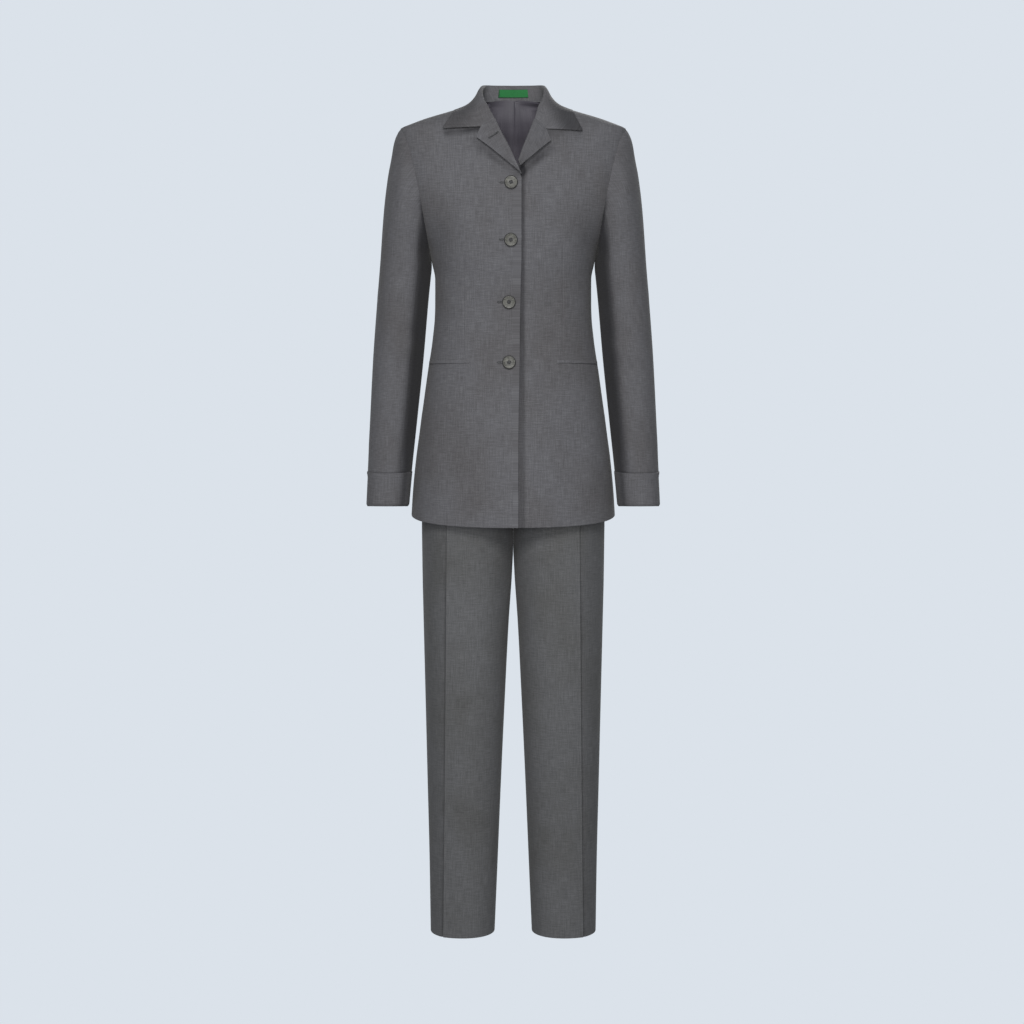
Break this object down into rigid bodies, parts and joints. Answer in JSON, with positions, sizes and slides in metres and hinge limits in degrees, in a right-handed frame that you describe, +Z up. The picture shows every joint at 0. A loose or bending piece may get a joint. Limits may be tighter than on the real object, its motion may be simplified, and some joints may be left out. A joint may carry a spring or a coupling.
{
  "type": "safari suit of jacket and trousers",
  "caption": "Tailored grey wool suit, filled out as if worn: buttoned jacket with a notched collar and turned-back cuffs, over straight creased trousers.",
  "frame": {"origin": "between the wearer's shoulders, in the middle of the body, level with the neck side of the shoulder seams", "axes": "+Z up, -Y out of the front, +X towards the wearer's left"},
  "size_m": [0.4954, 0.2792, 1.4462],
  "materials": {
    "jacket_cloth": "grey melange worsted wool, matt",
    "trouser_cloth": "darker grey worsted wool, matt",
    "lining": "mauve grey satin lining",
    "label": "plain green woven label",
    "button_horn": "dark horn, half gloss"
  },
  "bodies": {
    "root": {"front_left": "jacket_cloth", "front_right": "jacket_cloth", "back_left": "jacket_cloth", "back_right": "jacket_cloth", "lapel_left": "jacket_cloth", "lapel_right": "jacket_cloth", "collar": "jacket_cloth", "top_sleeve_left": "jacket_cloth", "top_sleeve_right": "jacket_cloth", "under_sleeve_left": "jacket_cloth", "under_sleeve_right": "jacket_cloth", "cuff_left": "jacket_cloth", "cuff_right": "jacket_cloth", "welt_left": "jacket_cloth", "welt_right": "jacket_cloth", "lining_back_left": "lining", "lining_back_right": "lining", "neck_label": "label", "button_1": "button_horn", "button_2": "button_horn", "button_3": "button_horn", "button_4": "button_horn", "front_leg_left": "trouser_cloth", "front_leg_right": "trouser_cloth", "back_leg_left": "trouser_cloth", "back_leg_right": "trouser_cloth", "waistband": "trouser_cloth", "fly": "trouser_cloth", "waist_button": "button_horn"}
  },
  "joints": []
}
